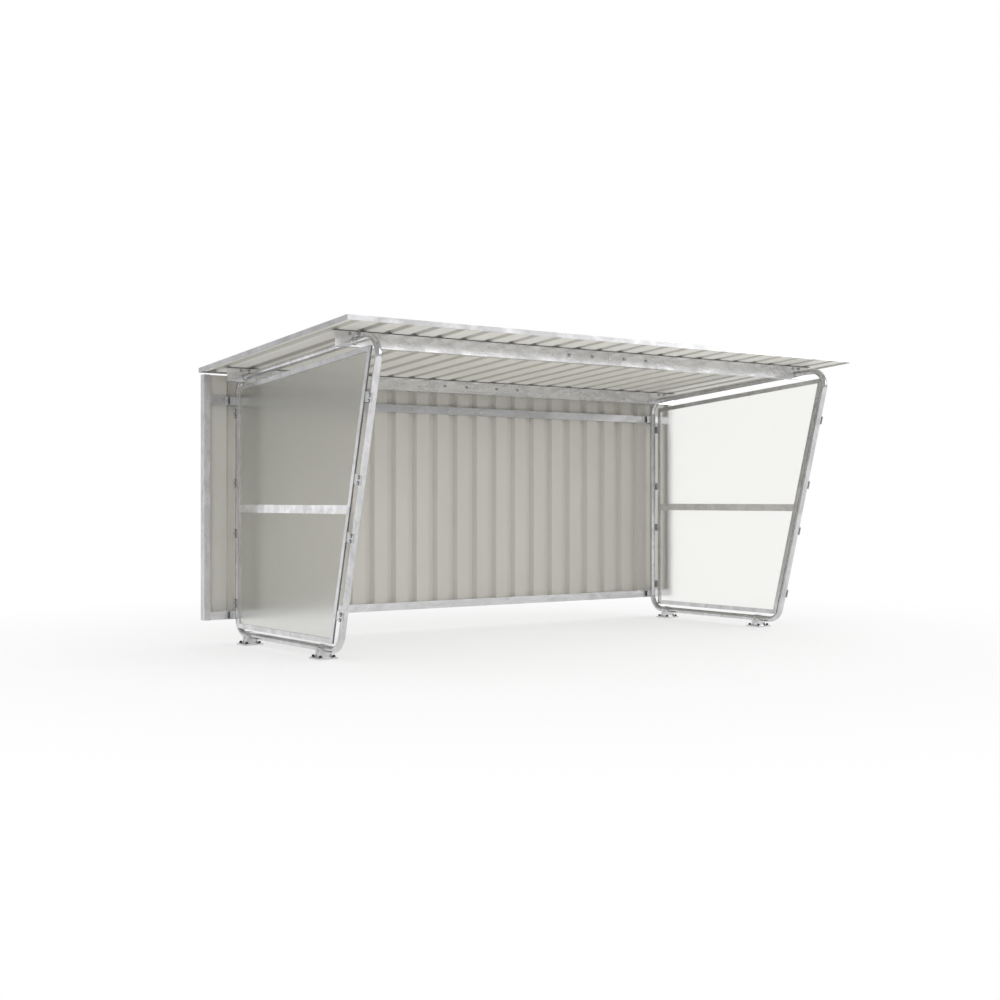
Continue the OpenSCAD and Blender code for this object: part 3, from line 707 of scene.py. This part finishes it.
def sheet_coat(name, stretch, light, dark, shaded_above=None):
    coat, tree, skin, coord = new_look(name)
    place = tree.nodes.new("ShaderNodeMapping")
    place.inputs["Scale"].default_value = stretch
    wire(tree, coord, "Object", place, "Vector")
    dust = speckle(tree, place, "Vector", 2.2, detail=8.0)
    tone = two_tones(tree, dust, dark, light)
    wire(tree, tone, "Result", skin, "Base Color")
    if shaded_above is not None:
        add_rib_painted_shade(tree, coord, skin, tone, shaded_above)
    rough = ramp(tree, dust, "Fac", 0.0, 1.0, COAT_SMOOTH, COAT_DULL, smooth=False)
    wire(tree, rough, "Result", skin, "Roughness")
    relief(tree, skin, speckle(tree, coord, "Object", 900.0), "Fac", strength=0.05, depth=0.0003)
    return coat


pan_under = box_on_roof("roof_sheet_3")[0][2]
roof_coat = sheet_coat("roof_coat", (1.0, 0.25, 1.0), ROOF_LIGHT, ROOF_DARK, pan_under)
dress([f"roof_sheet_{i}" for i in range(1, 6)], roof_coat)

RIB_PITCH = 0.207
ROOF_RIB_SHIFT = -0.027
SHEET_T = 0.0008
half_len = cad_box[1][0]
SCREW_MARGIN, SCREW_EDGE = 0.10, 0.07
SCREW_WASHER_R, SCREW_WASHER_T = 0.0080, 0.0020
SCREW_HEAD_R, SCREW_HEAD_H = 0.0048, 0.0050
washer_look, tree, skin, coord = new_look("screw_washer")
grain = speckle(tree, coord, "Object", 240.0)
tone = two_tones(tree, grain, (0.52, 0.51, 0.47, 1.0), (0.60, 0.59, 0.55, 1.0))
wire(tree, tone, "Result", skin, "Base Color")
skin.inputs["Roughness"].default_value = 0.45
skin.inputs["Metallic"].default_value = 0.3


def add_screw(bm, at, out):
    place = turned_to(at, out)
    add_disc(bm, place, SCREW_WASHER_R, SCREW_WASHER_T, sides=14, top_radius=0.0068)
    add_disc(bm, place, SCREW_HEAD_R, SCREW_HEAD_H, base=SCREW_WASHER_T, sides=6)


bm = bmesh.new()
count = int((half_len - SCREW_MARGIN) / RIB_PITCH)
for row in ("front", "rear"):
    low, high = box_on_roof(row + "_purlin_left")
    screw_y = (low[1] + high[1]) / 2
    for i in range(-count, count + 1):
        x = (i + 0.5) * RIB_PITCH + ROOF_RIB_SHIFT
        if abs(x) < half_len - SCREW_EDGE:
            add_screw(bm, roof_place @ Vector((x, screw_y, pan_under + SHEET_T)), roof_up)
make_piece("roof_screws", bm, washer_look)

# ---- Roof flashings ----
# Bent galvanised sheet angles round the roof's edge, pop-riveted down into the ribs. The
# front and rear ones are painted darker than the two at the ends: painted shade against the
# bright light that the front one faces.
flashing_zinc = zinc_coat("flashing_zinc", (0.9, 4.4, 6.1), stretch=(0.5, 0.5, 1.0), metal=0.92,
                          smooth=0.26, dull=0.40, tone=0.96)
dress(["left_flashing", "right_flashing"], flashing_zinc)
# Painted shade: the same zinc as the end flashings, toned darker.
long_flashing_painted_shade_zinc = zinc_coat("long_flashing_painted_shade_zinc", (3.3, 1.9, 4.7), stretch=(0.6, 1.0, 1.0), metal=0.92,
                      smooth=0.30, dull=0.44, tone=0.76)
dress(["front_flashing", "rear_flashing"], long_flashing_painted_shade_zinc)
RIVET_BACK, RIVET_MARGIN = 0.050, 0.06
RIVET_R, RIVET_TOP_R, RIVET_H = 0.0048, 0.0030, 0.0014
bm = bmesh.new()
slope_end = box_on_roof("rear_flashing")[1][1]
count = int((half_len - RIVET_MARGIN) / RIB_PITCH)
for y in (RIVET_BACK, slope_end - RIVET_BACK):
    for i in range(-count, count + 1, 2):
        x = i * RIB_PITCH + ROOF_RIB_SHIFT
        place = turned_to(roof_place @ Vector((x, y, 0)), roof_up)
        add_disc(bm, place, RIVET_R, RIVET_H, sides=12, top_radius=RIVET_TOP_R)
make_piece("flashing_rivets", bm, bolt_zinc)

# ---- Wall girts ----
# Cold-rolled channels across the back, the upper one painted darker than the lower as painted
# shade for its place in the shade under the roof.
# Short brackets hold them to the rear posts, with two hexagon bolts in each ear, and a
# cover plate with four bolts joins the upper one's halves.
girt_zinc = zinc_coat("girt_zinc", (3.6, 8.2, 4.9), stretch=(0.6, 1.0, 1.5), metal=0.80,
                      smooth=0.26, dull=0.40, tone=1.02)
dress(["lower_girt"], girt_zinc)
# Painted shade: the same zinc as the lower girt, toned darker.
upper_girt_painted_shade_zinc = zinc_coat("upper_girt_painted_shade_zinc", (1.6, 5.2, 2.9), stretch=(0.6, 1.0, 1.5), metal=0.85,
                           smooth=0.26, dull=0.40, tone=0.76)
dress(["upper_girt_left", "upper_girt_right", "girt_sleeve"], upper_girt_painted_shade_zinc)
dress(["girt_brackets"], plate_zinc)
BRACKET_T = 0.004
EAR_IN, EAR_UP = 0.014, 0.015
SLEEVE_BOLTS = (0.18, 0.42)
GIRT_BOLT = {"across": 0.013, "head": 0.0055, "washer": 0.009, "washer_t": 0.0016}
bm = bmesh.new()
for bracket in solids_of("girt_brackets"):
    x0, x1 = min(p.x for p in bracket), max(p.x for p in bracket)
    z = (min(p.z for p in bracket) + max(p.z for p in bracket)) / 2
    ear_y = max(p.y for p in bracket) - BRACKET_T
    for x in (x0 + EAR_IN, x1 - EAR_IN):
        for up in (-EAR_UP, EAR_UP):
            add_hex_bolt(bm, (x, ear_y, z + up), -REARWARD, **GIRT_BOLT)
low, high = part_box("girt_sleeve")
mid_x, _, mid_z = middle_of("girt_sleeve")
for part in SLEEVE_BOLTS:
    for way in (-1, 1):
        at = (mid_x + way * part * (high[0] - low[0]), low[1], mid_z)
        add_hex_bolt(bm, at, -REARWARD, **GIRT_BOLT)
make_piece("girt_bolts", bm, plate_zinc)

# ---- Wall sheets ----
# The same sheet as the roof's, hung upright behind the girts with the ribs outwards and
# screwed to them from outside, one screw in each pan.
# The sheet's own tone, darker than the roof's coat, which carries painted light.
WALL_LIGHT, WALL_DARK = (0.69, 0.672, 0.622, 1.0), (0.65, 0.632, 0.582, 1.0)
wall_coat = sheet_coat("wall_coat", (1.0, 1.0, 0.25), WALL_LIGHT, WALL_DARK)
dress([f"wall_sheet_{i}" for i in range(1, 6)], wall_coat)
bm = bmesh.new()
pan_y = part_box("wall_sheet_3")[0][1] + SHEET_T
count = int((half_len - SCREW_MARGIN) / RIB_PITCH)
for rail in ("lower_girt", "upper_girt_left"):
    for i in range(-count, count + 1):
        add_screw(bm, (i * RIB_PITCH, pan_y, middle_of(rail)[2]), REARWARD)
make_piece("wall_screws", bm, washer_look)

# ---- Wall trims ----
# Bent galvanised sheet angles down both ends of the back wall, over the girts' ends and
# the sheets' edges.
trim_zinc = zinc_coat("trim_zinc", (4.2, 0.8, 2.2), stretch=(1.0, 1.0, 0.6), smooth=0.26,
                      dull=0.40, tone=0.88)
dress(["left_wall_trim", "right_wall_trim"], trim_zinc)
